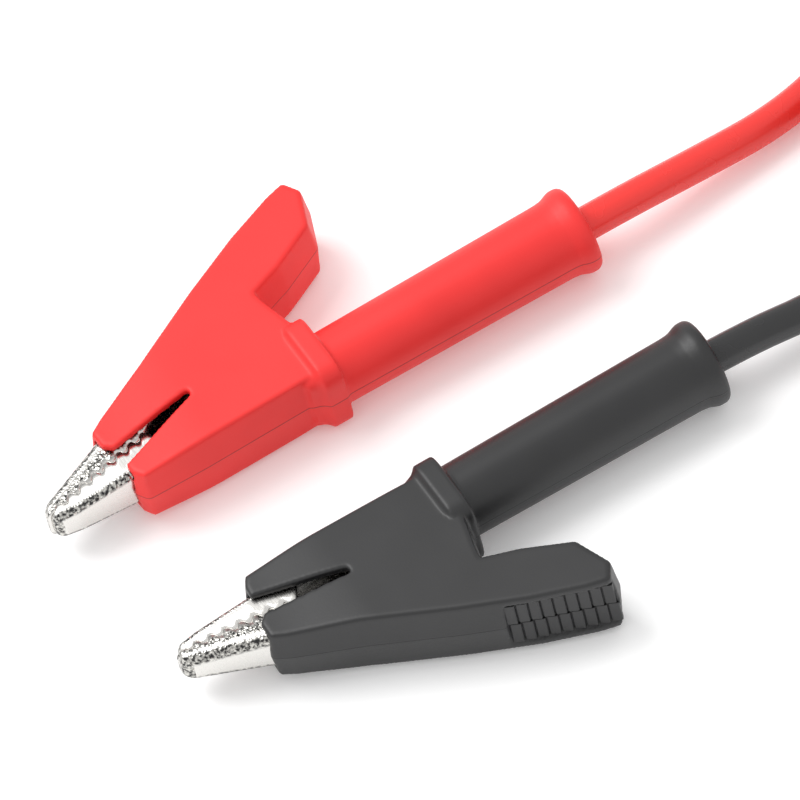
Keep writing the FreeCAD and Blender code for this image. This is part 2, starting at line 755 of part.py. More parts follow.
def plug_side(lead, across):
    """What one lead has in the plug: relief, contact, wire end, clamp screw and pin."""
    y = f"{across} * Sizes.pin_pitch / 2"
    relief = cone("Sizes.relief_tip_radius", "Sizes.relief_root_radius", "Sizes.relief_length",
                  "-Sizes.relief_length", y)
    neck = cylinder("Sizes.relief_root_radius", "Sizes.relief_neck", "0", y, along="x")
    bead = cylinder("Sizes.relief_bead_radius", "Sizes.relief_bead_length",
                    "Sizes.relief_bead_start", y, along="x")
    bore = cylinder("Sizes.cord_radius + Sizes.room_gap", "Sizes.through",
                    "-Sizes.through / 2", y, along="x")
    plug_node(cut(fuse(relief, neck, bead), bore), f"{lead}_plug_relief")

    barrel = cylinder("Sizes.contact_radius", "Sizes.contact_length", "Sizes.contact_start", y,
                      along="x")
    well = cylinder("Sizes.conductor_radius", "Sizes.wire_well", "Sizes.contact_start", y,
                    along="x")
    thread = cylinder("Sizes.clamp_screw_radius", "Sizes.contact_radius", "Sizes.clamp_screw_x",
                      y, "Sizes.clamp_screw_z")
    plug_node(cut(barrel, well, thread), f"{lead}_plug_contact")

    tail_end = ROUTES[f"{lead}_cord_tail"][-1]
    jacket_start = f"({tail_end[0]} - Sizes.plug_x)"
    jacket = cylinder("Sizes.cord_radius", f"Sizes.contact_start - {jacket_start}", jacket_start,
                      y, along="x")
    strands = cylinder("Sizes.conductor_radius - Sizes.room_gap", "Sizes.wire_length",
                       "Sizes.contact_start", y, along="x")
    plug_node(fuse(jacket, strands), f"{lead}_plug_wire")

    screw = cylinder("Sizes.clamp_screw_radius", "Sizes.clamp_screw_length",
                     "Sizes.clamp_screw_x", y, "Sizes.clamp_screw_z")
    drive = box("2 * Sizes.clamp_screw_radius", "Sizes.clamp_slot_width",
                "Sizes.clamp_screw_length", "Sizes.clamp_screw_x - Sizes.clamp_screw_radius",
                f"{y} - Sizes.clamp_slot_width / 2",
                "Sizes.clamp_screw_z + Sizes.clamp_screw_length - Sizes.clamp_slot_depth")
    plug_node(cut(screw, drive), f"{lead}_clamp_screw")

    pin_start = "(Sizes.contact_start + Sizes.contact_length)"
    pin_end = "(Sizes.plug_length + Sizes.pin_length)"
    collar = cylinder("Sizes.pin_collar_radius", "Sizes.pin_collar_length", pin_start, y,
                      along="x")
    shoulder_end = "(Sizes.plug_length + Sizes.pin_shoulder_proud)"
    shoulder = cylinder("Sizes.pin_shoulder_radius", f"{shoulder_end} - {pin_start}", pin_start, y,
                        along="x")
    shaft = cylinder("Sizes.pin_radius", f"{pin_end} - Sizes.pin_tip - {pin_start}", pin_start, y,
                     along="x")
    nose = cone("Sizes.pin_radius", "Sizes.pin_radius - Sizes.pin_tip", "Sizes.pin_tip",
                f"{pin_end} - Sizes.pin_tip", y)
    slots = []
    slot_length = "Sizes.pin_length - Sizes.pin_slot_start - Sizes.pin_slot_end"
    slot_start = "Sizes.plug_length + Sizes.pin_slot_start"
    wide = "3 * Sizes.pin_radius"
    for width, height in (("Sizes.pin_slot", wide), (wide, "Sizes.pin_slot")):
        slot = box(slot_length, width, height, slot_start,
                   f"{y} + ({height} - {width}) / 2 * cos(45deg)",
                   f"-({height} + {width}) / 2 * cos(45deg)")
        slot.Placement = Placement(Vector(), Rotation(Vector(1, 0, 0), 45))
        slots.append(slot)
    core = cylinder("Sizes.pin_core_radius", slot_length, slot_start, y, along="x")
    plug_node(cut(fuse(collar, shoulder, shaft, nose), cut(fuse(*slots), core)),
              f"{lead}_banana_pin")


# ---------------------------------------------------------------- build

for lead_name in ("red", "black"):
    boot_body(lead_name)
    boot_lever(lead_name)
    fixed_jaw(lead_name)
    lever_jaw(lead_name)
    rivet(lead_name)
    spring(lead_name)
    conductor(lead_name)
    cord_root(lead_name)
    cord_tube(f"{lead_name}_cord")
    cord_tube(f"{lead_name}_cord_tail")
coil("red", 0)
coil("black", 1)
coil_tie(1, 0)
coil_tie(2, 180)
plug_half("plug_base", -1)
plug_half("plug_cover", 1)
plug_screws()
plug_side("red", 1)
plug_side("black", -1)

doc.recompute()

failed = [thing.Label for thing in doc.Objects if "Invalid" in thing.State or "Error" in thing.State]
if failed:
    raise RuntimeError(f"objects that didn't build: {failed}")
os.makedirs("parts", exist_ok=True)
for node in nodes:
    if node.Shape.isNull() or not node.Shape.isValid():
        raise RuntimeError(f"{node.Label} has no valid shape")
    solids = len(node.Shape.Solids)
    print(f"{node.Label}: {solids} solid, {node.Shape.Volume:.1f} mm3")
    node.Shape.exportStep(f"parts/{node.Label}.step")
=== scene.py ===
# %% [markdown]
# # A pair of clip leads
# A red and a black test lead lie on a pale bench. Each one starts in an alligator clip inside a soft
# moulded boot, and both end in one twin banana plug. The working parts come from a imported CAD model:
# its nodes say where everything is, and this lesson builds the finished surfaces around them.
# The order is camera, cords, boots, grips, jaws, springs, plug, ties, floor and light. Each finish is
# made just before the first piece that wears it.

import math

import bmesh
import bpy
from mathutils import Matrix, Vector


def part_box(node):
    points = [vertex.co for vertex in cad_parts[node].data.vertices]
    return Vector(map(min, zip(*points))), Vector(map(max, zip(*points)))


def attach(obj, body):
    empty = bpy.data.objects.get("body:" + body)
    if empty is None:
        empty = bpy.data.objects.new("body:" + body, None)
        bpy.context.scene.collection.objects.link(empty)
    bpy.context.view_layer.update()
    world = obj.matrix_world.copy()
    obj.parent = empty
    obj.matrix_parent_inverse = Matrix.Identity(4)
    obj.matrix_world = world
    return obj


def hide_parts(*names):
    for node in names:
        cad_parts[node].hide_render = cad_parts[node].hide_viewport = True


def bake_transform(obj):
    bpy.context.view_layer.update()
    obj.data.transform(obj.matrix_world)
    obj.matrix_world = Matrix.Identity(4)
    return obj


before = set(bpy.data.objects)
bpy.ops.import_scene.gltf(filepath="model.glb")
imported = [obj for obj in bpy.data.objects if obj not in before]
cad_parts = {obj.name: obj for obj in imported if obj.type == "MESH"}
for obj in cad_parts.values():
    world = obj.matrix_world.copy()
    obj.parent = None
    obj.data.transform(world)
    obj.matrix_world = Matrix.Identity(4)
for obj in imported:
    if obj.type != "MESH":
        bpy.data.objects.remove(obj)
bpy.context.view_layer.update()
MM = 0.001
LEADS = ("red", "black")

# %% [markdown]
# ## Where each clip lies
# Both clips are one design. Its own frame has +X along the neck, +Y towards the thumb lever and z = 0
# in the moulds' parting plane. The red clip lies as it is drawn, and the black one is turned over about
# its neck, so a mesh is drawn once, in millimetres, and one matrix per clip puts it in place.

# %% Clip frames
NECK_END = 41.2


def clip_matrix(lead):
    """From the clip's own frame, in millimetres, to the bench, in metres."""
    low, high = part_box(f"{lead}_cord_root")
    neck_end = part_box(f"{lead}_boot_body")[1].x
    origin = Vector((neck_end - NECK_END * MM, (low.y + high.y) / 2, (low.z + high.z) / 2))
    over = Matrix.Rotation(math.pi if lead == "black" else 0.0, 4, "X")
    return Matrix.Translation(origin) @ over @ Matrix.Scale(MM, 4)


CLIP = {lead: clip_matrix(lead) for lead in LEADS}
PARTING_HEIGHT = CLIP["red"].translation.z
for lead in LEADS:
    print(lead, "clip origin", [round(value / MM, 2) for value in CLIP[lead].translation])

# %% [markdown]
# ## Camera
# A long lens far away gives a catalogue view with almost no perspective. It looks steeply down, stands
# a little to the left of the clips' long axis and is rolled, so that the leads run up to the right.

# %% Camera
LOOK_DOWN = math.radians(52.6)
LEVEL_TURN = math.radians(18.0)
ROLL = math.radians(15.2)
AIM = Vector((4.66, 6.10, 1.89)) * MM
DISTANCE = 2.775
LENS = 1137.6

level_right = Vector((math.cos(LEVEL_TURN), -math.sin(LEVEL_TURN), 0))
forward = Vector((
    math.sin(LEVEL_TURN) * math.cos(LOOK_DOWN),
    math.cos(LEVEL_TURN) * math.cos(LOOK_DOWN),
    -math.sin(LOOK_DOWN),
))
level_up = level_right.cross(forward)
picture_right = level_right * math.cos(ROLL) - level_up * math.sin(ROLL)
picture_up = level_right * math.sin(ROLL) + level_up * math.cos(ROLL)

camera_data = bpy.data.cameras.new("camera")
camera_data.lens = LENS
camera_data.sensor_width = 36.0
camera_data.clip_start = 0.1
camera_data.clip_end = 20.0
camera = bpy.data.objects.new("camera", camera_data)
bpy.context.scene.collection.objects.link(camera)
turned = Matrix((picture_right, picture_up, -forward)).transposed()
camera.matrix_world = Matrix.Translation(AIM - forward * DISTANCE) @ turned.to_4x4()
bpy.context.scene.camera = camera
print("camera at", [round(value, 2) for value in camera.location], "m")

# %% [markdown]
# ## Finishes
# Each finish is a node material. A colour is written as the sRGB hex value a paint chart would give and
# turned to linear light once. One helper adds a node, sets its properties and links its inputs.

# %% Helpers for finishes


def linear(hex_colour):
    """An sRGB hex colour as linear red, green, blue and alpha."""
    shares = [int(hex_colour[i:i + 2], 16) / 255 for i in (1, 3, 5)]
    return (*(s / 12.92 if s <= 0.04045 else ((s + 0.055) / 1.055) ** 2.4 for s in shares), 1.0)


def add(tree, kind, inputs=None, **settings):
    """Add a node. Its inputs are given values, or the outputs that feed them."""
    new = tree.nodes.new(kind)
    for name, value in settings.items():
        setattr(new, name, value)
    for name, value in (inputs or {}).items():
        if isinstance(value, bpy.types.NodeSocket):
            tree.links.new(value, new.inputs[name])
        else:
            new.inputs[name].default_value = value
    return new


def finish(name, **sockets):
    """A new material, its tree and its shader, with the shader's constant sockets set."""
    made = bpy.data.materials.new(name)
    made.use_nodes = True
    shader = made.node_tree.nodes["Principled BSDF"]
    for socket, value in sockets.items():
        shader.inputs[socket.replace("_", " ")].default_value = value
    return made, made.node_tree, shader


def per_metre(size_mm):
    """The scale of a pattern whose features are this many millimetres apart."""
    return 1000.0 / size_mm


# %% [markdown]
# ## Soft PVC of the boots
# The boots are injection moulded from plasticised PVC. The mould's spark-eroded faces leave a fine
# grain that turns a gloss into a satin, flow marks shade the colour a little, and the two halves of the
# mould leave a raised parting line all round at mid height. That ridge is a bump with a painted shade:
# its colour is darkened to stand in for the shade beside the ridge. Grain is about 0.25 mm.

# %% Boot finishes
GRAIN_MM = 0.25
FLOW_MM = 9.0
LINE_HALF_WIDTH = 0.05 * MM
LINE_FADE = 0.05 * MM


def moulded_pvc(name, light_side, dark_side, parting_shade_colour, roughness, parting_height=None):
    made, tree, shader = finish(name, IOR=1.53, Roughness=roughness)
    place = add(tree, "ShaderNodeTexCoord").outputs["Object"]
    flow = add(tree, "ShaderNodeTexNoise",
               {"Vector": place, "Scale": per_metre(FLOW_MM), "Detail": 2.0})
    grain = add(tree, "ShaderNodeTexNoise",
                {"Vector": place, "Scale": per_metre(GRAIN_MM), "Detail": 3.0})
    ramp = add(tree, "ShaderNodeValToRGB", {"Fac": flow.outputs["Fac"]})
    ramp.color_ramp.elements[0].position = 0.35
    ramp.color_ramp.elements[0].color = linear(dark_side)
    ramp.color_ramp.elements[1].position = 0.65
    ramp.color_ramp.elements[1].color = linear(light_side)
    colour = ramp.outputs["Color"]
    rough = add(tree, "ShaderNodeMapRange", {
        "Value": grain.outputs["Fac"], "To Min": roughness - 0.06, "To Max": roughness + 0.08})
    bump = add(tree, "ShaderNodeBump",
               {"Height": grain.outputs["Fac"], "Strength": 0.25, "Distance": 0.03 * MM})
    normal = bump.outputs["Normal"]
    if parting_height is not None:
        height = add(tree, "ShaderNodeSeparateXYZ", {"Vector": place}).outputs["Z"]
        away = add(tree, "ShaderNodeMath", {0: height, 1: parting_height}, operation="SUBTRACT")
        away = add(tree, "ShaderNodeMath", {0: away.outputs[0]}, operation="ABSOLUTE")
        line = add(tree, "ShaderNodeMapRange", {
            "Value": away.outputs[0], "From Min": LINE_HALF_WIDTH,
            "From Max": LINE_HALF_WIDTH + LINE_FADE, "To Min": 1.0, "To Max": 0.0})
        # Painted shade: the colour is darkened along the parting line, standing in for the shade beside
        # its small ridge.
        mixed = add(tree, "ShaderNodeMixRGB", {
            "Fac": line.outputs["Result"], "Color1": colour, "Color2": linear(parting_shade_colour)})
        colour = mixed.outputs["Color"]
        ridge = add(tree, "ShaderNodeBump", {
            "Height": line.outputs["Result"], "Normal": normal, "Strength": 0.6,
            "Distance": 0.05 * MM})
        normal = ridge.outputs["Normal"]
    tree.links.new(colour, shader.inputs["Base Color"])
    tree.links.new(rough.outputs["Result"], shader.inputs["Roughness"])
    tree.links.new(normal, shader.inputs["Normal"])
    return made


# The third colour of each boot finish is the painted shade along the parting line.
BOOT_FINISH = {
    "red": moulded_pvc("red moulded soft PVC", "#f22a28", "#eb2624", "#b51b1b", 0.5,
                       PARTING_HEIGHT),
    "black": moulded_pvc("black moulded soft PVC", "#242425", "#1e1e1f", "#0d0d0e", 0.42,
                         PARTING_HEIGHT),
}

# %% [markdown]
# ## Extruded PVC of the cords
# The insulation is drawn through a round die, so it is glossier than the boots, with faint waves along
# it where the strands inside press through. The same plastic, with a finer surface.

# %% Cord finishes
STRAND_WAVE_MM = 3.0


def drawn_pvc(name, colour, roughness):
    made, tree, shader = finish(name, IOR=1.53, Base_Color=linear(colour))
    place = add(tree, "ShaderNodeTexCoord").outputs["Object"]
    waves = add(tree, "ShaderNodeTexNoise",
                {"Vector": place, "Scale": per_metre(STRAND_WAVE_MM), "Detail": 2.0})
    rough = add(tree, "ShaderNodeMapRange", {
        "Value": waves.outputs["Fac"], "To Min": roughness - 0.05, "To Max": roughness + 0.05})
    bump = add(tree, "ShaderNodeBump",
               {"Height": waves.outputs["Fac"], "Strength": 0.12, "Distance": 0.1 * MM})
    tree.links.new(rough.outputs["Result"], shader.inputs["Roughness"])
    tree.links.new(bump.outputs["Normal"], shader.inputs["Normal"])
    return made


CORD_FINISH = {
    "red": drawn_pvc("red drawn PVC insulation", "#f2352f", 0.26),
    "black": drawn_pvc("black drawn PVC insulation", "#262627", 0.26),
}

# %% [markdown]
# ## Cords
# Each cord is one smooth curve: out of the boot's neck, down to the bench, round six turns in two
# layers, and on into the plug. The route's points are given one by one, as a person lays a cord, and the
# coil's turns come from a loop: three lanes out to in on the lower layer, then in to out on the upper.

# %% Cord routes
CORD_DIAMETER = 0.004
COIL_CENTRE = (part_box("red_coil")[0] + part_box("red_coil")[1]) / 2
POINTS_PER_TURN = 16
LANES = (28.0, 24.0, 20.0, 20.0, 24.0, 28.0)
CLIMB_AT = 3
CHANGE = 0.14
EARLY = 0.08

ROUTE_OUT = {
    "red": [(26.68, 12.1, 5.1), (36.9, 12.1, 5.1), (47.3, 12.75, 3.6), (57.8, 13.4, 2.4),
            (67.6, 15.9, 2.4), (76.3, 21.1, 2.95)],
    "black": [(28.92, -12.1, 5.1), (38.5, -12.1, 5.1), (48.2, -12.5, 3.8), (57.8, -13.4, 6.3),
              (67.6, -16.4, 10.4), (76.8, -21.2, 11.0)],
}
ROUTE_BACK = {
    "red": [(112.5, 22.6, 6.0), (118.6, 17.2, 6.1), (127.5, 12.2, 6.3), (137.5, 9.525, 6.5),
            (147.5, 9.525, 6.5)],
    "black": [(112.5, -22.6, 14.6), (118.6, -17.5, 13.2), (126.5, -12.9, 9.8),
              (137.5, -9.525, 6.5), (147.5, -9.525, 6.5)],
}


def eased(share):
    """From 0 to 1 with a soft start and end."""
    share = min(max(share, 0.0), 1.0)
    return share * share * (3 - 2 * share)


def coil_points(lead, start, end):
    """Turns of the coil between two points on it, in millimetres. Red winds clockwise."""
    low, high = (corner.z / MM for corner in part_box(f"{lead}_coil"))
    radius = CORD_DIAMETER / MM / 2
    levels = (low + radius, high - radius)
    centre = Vector((COIL_CENTRE.x, COIL_CENTRE.y)) / MM
    way = -1 if lead == "red" else 1
    first = Vector(start[:2]) - centre
    last = Vector(end[:2]) - centre
    first_angle = math.atan2(first.y, first.x)
    part_turn = (way * (math.atan2(last.y, last.x) - first_angle) / math.tau) % 1.0
    turns = len(LANES) + part_turn
    steps = round(turns * POINTS_PER_TURN)
    widen = 1 / math.cos(math.pi / POINTS_PER_TURN)
    points = []
    for step in range(1, steps):
        turn = turns * step / steps
        lane = LANES[0]
        for number in range(1, len(LANES)):
            begin = number - (EARLY if number > CLIMB_AT else 0.0)
            lane += (LANES[number] - LANES[number - 1]) * eased((turn - begin) / CHANGE)
        height = levels[0] + (levels[1] - levels[0]) * eased((turn - CLIMB_AT) / CHANGE)
        angle = first_angle + way * math.tau * turn
        points.append((centre.x + lane * widen * math.cos(angle),
                       centre.y + lane * widen * math.sin(angle), height))
    return points


def cord_curve(lead):
    """The whole cord as one open spline with a round section."""
    coil = coil_points(lead, ROUTE_OUT[lead][-1], ROUTE_BACK[lead][0])
    points = ROUTE_OUT[lead] + coil + ROUTE_BACK[lead]
    data = bpy.data.curves.new(f"{lead}_cord_whole", "CURVE")
    data.dimensions = "3D"
    spline = data.splines.new("NURBS")
    spline.points.add(len(points) - 1)
    for point, place in zip(spline.points, points):
        point.co = (*(value * MM for value in place), 1.0)
    spline.order_u = 3
    spline.use_endpoint_u = True
    spline.resolution_u = 6
    data.bevel_depth = CORD_DIAMETER / 2
    data.bevel_resolution = 6
    data.use_fill_caps = True
    data.materials.append(CORD_FINISH[lead])
    cord = bpy.data.objects.new(f"{lead}_cord_whole", data)
    bpy.context.scene.collection.objects.link(cord)
    return cord


def curve_length(curve):
    """Length of a curve's own line, measured on a copy with no section."""
    bare = curve.copy()
    bare.data = curve.data.copy()
    bare.data.bevel_depth = 0.0
    bpy.context.scene.collection.objects.link(bare)
    line = bpy.data.meshes.new_from_object(bare.evaluated_get(bpy.context.evaluated_depsgraph_get()))
    length = sum((line.vertices[a].co - line.vertices[b].co).length
                 for a, b in (edge.vertices for edge in line.edges))
    bpy.data.objects.remove(bare)
    return length


CORDS = {lead: cord_curve(lead) for lead in LEADS}
for lead in LEADS:
    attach(CORDS[lead], "root")
    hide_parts(f"{lead}_cord", f"{lead}_coil", f"{lead}_cord_tail")
    print(lead, "cord is", round(curve_length(CORDS[lead]), 3), "m long")

# %% [markdown]
# ## Helpers for solid shapes
# A moulded part is easiest to draw as its mould is cut: flat outlines with rounded corners, stacked
# into tapering blocks, and turned profiles for round parts. Booleans join and hollow them. All
# of this is drawn in millimetres in the clip's own frame.

# %% Outlines and blocks
CORNER_STEPS = 5
LONGEST_REACH = 0.45
SHARPEST_MITRE = 0.4


def rounded_outline(corners, steps=CORNER_STEPS):
    """A closed outline whose corners are (x, y) or (x, y, radius)."""
    outline = []
    for number, corner in enumerate(corners):
        here = Vector(corner[:2])
        radius = corner[2] if len(corner) > 2 else 0.0
        if radius == 0.0:
            outline.append(here)
            continue
        before = Vector(corners[number - 1][:2]) - here
        after = Vector(corners[(number + 1) % len(corners)][:2]) - here
        reach = radius / math.tan(before.angle(after) / 2)
        reach = min(reach, LONGEST_REACH * before.length, LONGEST_REACH * after.length)
        start = here + before.normalized() * reach
        end = here + after.normalized() * reach
        for step in range(steps + 1):
            share = step / steps
            outline.append(start * (1 - share) ** 2 + here * 2 * share * (1 - share)
                           + end * share ** 2)
    return outline


def grown(outline, by):
    """An anticlockwise outline moved outwards by this much."""
    moved = []
    for number, here in enumerate(outline):
        before = (here - outline[number - 1]).normalized()
        after = (outline[(number + 1) % len(outline)] - here).normalized()
        sides = (Vector((before.y, -before.x)), Vector((after.y, -after.x)))
        mitre = (sides[0] + sides[1]) / max(1 + sides[0].dot(sides[1]), SHARPEST_MITRE)
        moved.append(here + mitre * by)
    return moved


def mesh_object(name, mesh_maker):
    """An object with closed, outward-facing triangles."""
    mesh_maker.normal_update()
    bmesh.ops.recalc_face_normals(mesh_maker, faces=mesh_maker.faces)
    data = bpy.data.meshes.new(name)
    mesh_maker.to_mesh(data)
    mesh_maker.free()
    made = bpy.data.objects.new(name, data)
    bpy.context.scene.collection.objects.link(made)
    return made


def lofted(name, rings):
    """A solid through rings of equal count, with flat ends."""
    maker = bmesh.new()
    rows = [[maker.verts.new(place) for place in ring] for ring in rings]
    count = len(rows[0])
    for low, high in zip(rows, rows[1:]):
        for number in range(count):
            after = (number + 1) % count
            maker.faces.new((low[number], low[after], high[after], high[number]))
    ends = [maker.faces.new(rows[0]), maker.faces.new(rows[-1])]
    bmesh.ops.triangulate(maker, faces=ends)
    return mesh_object(name, maker)


def block(name, outline, levels):
    """A solid over an x-y outline. Each level is a height and how far the outline has grown there."""
    return lofted(name, [[(*place, height) for place in grown(outline, growth)]
                         for height, growth in levels])


def turned_solid(name, profile, sides=96):
    """A solid turned about the x axis from (x, radius) steps, closed on the axis at both ends."""
    rings = []
    for along, radius in profile:
        rings.append([(along, radius * math.cos(math.tau * side / sides),
                       radius * math.sin(math.tau * side / sides)) for side in range(sides)])
    return lofted(name, rings)


def combined(name, first, steps):
    """One mesh from booleans, after which the tools are gone."""
    for number, (operation, tool) in enumerate(steps):
        change = first.modifiers.new(f"step {number}", "BOOLEAN")
        change.operation = operation
        change.solver = "MANIFOLD"
        change.object = tool
    data = plain_mesh(first, name)
    for used in (first, *(tool for _, tool in steps)):
        bpy.data.objects.remove(used)
    return data


def plain_mesh(piece, name):
    """A piece's mesh as its modifiers leave it."""
    made = bpy.data.meshes.new_from_object(
        piece.evaluated_get(bpy.context.evaluated_depsgraph_get()))
    made.name = name
    return made


def place_piece(name, data, matrix, material, smooth=True):
    """An object for a finished mesh, moved by a matrix from its own frame to the bench."""
    data.transform(matrix)
    data.materials.clear()
    data.materials.append(material)
    data.shade_smooth() if smooth else data.shade_flat()
    made = bpy.data.objects.new(name, data)
    bpy.context.scene.collection.objects.link(made)
    return made


# %% [markdown]
# ## Boots
# Each boot is one soft moulding: two covers for the jaws with a V-shaped slot between them, a thumb
# lever, a collar and a long neck with a bead at its end. The blocks are the mould's cavities, with
# drafted sides, joined and hollowed by booleans. A voxel remesh then gives the even, softened surface
# that flexible plastic has.

# %% Boot outlines
BOOT_HEIGHT = 4.45
BOOT_DRAFT = 0.45
BOOT_OUTLINE = [
    (-17.2, -2.85, 0.3), (-10.2, -3.0), (5.6, -2.75), (6.2, -2.7), (6.2, 5.0, 0.5), (5.75, 7.0),
    (5.2, 9.2), (4.9, 11.0, 0.25), (9.0, 12.55), (14.45, 15.4, 0.5), (16.15, 20.1, 0.5),
    (14.97, 22.2, 0.6), (12.5, 21.5), (6.6, 19.1), (-0.65, 15.5), (-10.1, 10.3), (-17.3, 6.85),
    (-19.0, 5.8, 0.4), (-18.9, 3.6, 0.2), (-17.9, 2.65, 0.2), (-18.0, -0.25, 0.2),
    (-17.85, -1.7, 0.2),
]
BOOT_LEVELS = [(0.0, BOOT_DRAFT), (3.9, 0.06), (4.25, 0.0), (4.4, -0.12), (BOOT_HEIGHT, -0.3)]
SLOT_OUTLINE = [(-20.5, 2.28), (-20.5, -1.09), (-7.6, 3.25, 0.3), (-7.5, 4.15, 0.3)]
HOLLOW_HEIGHT = 3.45
HOLLOW_OUTLINE = [
    (-21.5, -1.4), (3.5, -1.4), (4.6, -1.0), (4.9, 4.5), (4.1, 8.5), (3.9, 11.7), (8.6, 13.7),
    (13.3, 15.9), (14.7, 20.0), (13.9, 21.0), (6.2, 18.0), (-1.1, 14.4), (-10.6, 9.6),
    (-21.5, 4.1),
]
GRIP_START = Vector((3.7, 17.72))
GRIP_ANGLE = math.radians(21.6)
GRIP_LENGTH = 12.4
GRIP_HALF = 3.5
GRIP_DEPTH = 0.25
SLOT_REACH = 6.0


def both_ways(levels):
    """Levels above the parting plane, mirrored below it."""
    return [(-height, growth) for height, growth in reversed(levels[1:])] + levels


def grip_point(along, out):
    """A point on the thumb grip, by its distance along it and out from it."""
    run = Vector((math.cos(GRIP_ANGLE), math.sin(GRIP_ANGLE)))
    return GRIP_START + run * along + Vector((-run.y, run.x)) * out


# %% Boot meshes
COLLAR = [(3.4, -1.1), (4.4, -0.75), (5.0, -0.2), (5.1, 0.0), (7.3, 0.0), (7.5, -0.2)]
COLLAR_CORNERS = [(-4.6, -5.1, 2.6), (5.4, -5.1, 2.6), (5.4, 5.1, 2.6), (-4.6, 5.1, 2.6)]
BEAD_END = NECK_END - 1.3
NECK = [(5.1, 0.2), (5.1, 4.3), (BEAD_END - 3.6, 4.55), (BEAD_END - 2.6, 4.65),
        (BEAD_END - 1.9, 4.95), (BEAD_END - 1.4, 5.1), (BEAD_END - 0.7, 5.1),
        (BEAD_END - 0.3, 4.95), (BEAD_END - 0.05, 4.65), (BEAD_END, 4.3), (BEAD_END, 2.4),
        (BEAD_END - 1.2, 2.15), (26.5, 2.15), (26.5, 0.2)]
BOOT_VOXEL = 0.235
BOOT_SMOOTHING = 1
NOSE_THINNING = 0.17
THIN_FROM, THIN_TO = -8.0, -20.0


def boot_mesh():
    """The boot in the clip's frame."""
    body = block("boot", rounded_outline(BOOT_OUTLINE), both_ways(BOOT_LEVELS))
    collar_outline = rounded_outline(COLLAR_CORNERS, steps=12)
    collar = lofted("collar", [[(along, *place) for place in grown(collar_outline, growth)]
                               for along, growth in COLLAR])
    neck = turned_solid("neck", NECK)
    hollow = block("hollow", rounded_outline(HOLLOW_OUTLINE),
                   [(-HOLLOW_HEIGHT, 0.0), (HOLLOW_HEIGHT, 0.0)])
    slot = block("slot", rounded_outline(SLOT_OUTLINE),
                 [(-SLOT_REACH, 0.0), (SLOT_REACH, 0.0)])
    recess_corners = [grip_point(0, -GRIP_DEPTH), grip_point(GRIP_LENGTH, -GRIP_DEPTH),
                      grip_point(GRIP_LENGTH, 3.0), grip_point(-0.6, 3.0)]
    recess = block("recess", recess_corners, [(-GRIP_HALF, 0.0), (GRIP_HALF, 0.0)])
    data = combined("boot", body, [
        ("UNION", collar), ("UNION", neck), ("DIFFERENCE", hollow), ("DIFFERENCE", slot),
        ("DIFFERENCE", recess)])
    made = bpy.data.objects.new("boot", data)
    bpy.context.scene.collection.objects.link(made)
    even = made.modifiers.new("even", "REMESH")
    even.mode = "VOXEL"
    even.voxel_size = BOOT_VOXEL
    soften = made.modifiers.new("soften", "SMOOTH")
    soften.iterations = BOOT_SMOOTHING
    soften.factor = 0.5
    data = plain_mesh(made, "boot")
    bpy.data.objects.remove(made)
    for vertex in data.vertices:
        share = eased((THIN_FROM - vertex.co.x) / (THIN_FROM - THIN_TO))
        vertex.co.z *= 1 - NOSE_THINNING * share
    return data


boot_data = boot_mesh()
BOOTS = {}
for lead in LEADS:
    BOOTS[lead] = place_piece(f"{lead}_boot", boot_data.copy(), CLIP[lead], BOOT_FINISH[lead])
    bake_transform(BOOTS[lead])
    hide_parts(f"{lead}_boot_body", f"{lead}_boot_lever")
print("each boot has", len(boot_data.polygons), "faces")

# %% [markdown]
# ## A row of copies
# Grip ribs, relief rings and finger ridges are all one shape repeated in a straight row, so one Geometry
# Nodes tree makes them. It puts the modelled piece on the points of a line, shrinks it evenly towards
# the far end if asked, and makes the copies real, because instances don't survive an export.

# %% The row tree


def row_tree():
    tree = bpy.data.node_groups.new("row of copies", "GeometryNodeTree")
    sockets = {}
    for name, kind in (("Piece", "Geometry"), ("Count", "Int"), ("Step", "Vector"),
                       ("End Scale", "Float"), ("Material", "Material")):
        made = tree.interface.new_socket(name, in_out="INPUT", socket_type=f"NodeSocket{kind}")
        sockets[name] = made.identifier
    tree.interface.new_socket("Row", in_out="OUTPUT", socket_type="NodeSocketGeometry")
    given = add(tree, "NodeGroupInput").outputs
    line = add(tree, "GeometryNodeMeshLine",
               {"Count": given["Count"], "Offset": given["Step"]}, mode="OFFSET")
    last = add(tree, "ShaderNodeMath", {0: given["Count"], 1: 1.0}, operation="SUBTRACT")
    index = add(tree, "GeometryNodeInputIndex")
    scale = add(tree, "ShaderNodeMapRange", {
        "Value": index.outputs["Index"], "From Max": last.outputs[0], "To Min": 1.0,
        "To Max": given["End Scale"]})
    copies = add(tree, "GeometryNodeInstanceOnPoints", {
        "Points": line.outputs["Mesh"], "Instance": given["Piece"],
        "Scale": scale.outputs["Result"]})
    real = add(tree, "GeometryNodeRealizeInstances", {"Geometry": copies.outputs["Instances"]})
    painted = add(tree, "GeometryNodeSetMaterial", {
        "Geometry": real.outputs["Geometry"], "Material": given["Material"]})
    add(tree, "NodeGroupOutput", {"Row": painted.outputs["Geometry"]})
    return tree, sockets


ROW, ROW_SOCKETS = row_tree()


def row_of(piece, material, count, step, end_scale=1.0):
    """The plain mesh of a row of copies of a piece, which is used up."""
    change = piece.modifiers.new("row", "NODES")
    change.node_group = ROW
    for name, value in (("Count", count), ("Step", step), ("End Scale", end_scale),
                        ("Material", material)):
        change[ROW_SOCKETS[name]] = value
    data = plain_mesh(piece, "row")
    bpy.data.objects.remove(piece)
    return data


def joined(name, parts):
    """One mesh from several, which are used up."""
    maker = bmesh.new()
    for part in parts:
        maker.from_mesh(part)
    data = bpy.data.meshes.new(name)
    maker.to_mesh(data)
    maker.free()
    return data


# %% [markdown]
# ## Thumb grips
# The lever's grip is a shallow panel of nine shingled ribs, each rising gently to a step. The two
# halves of the mould cut them separately, so the rows meet at the parting line a little out of step.

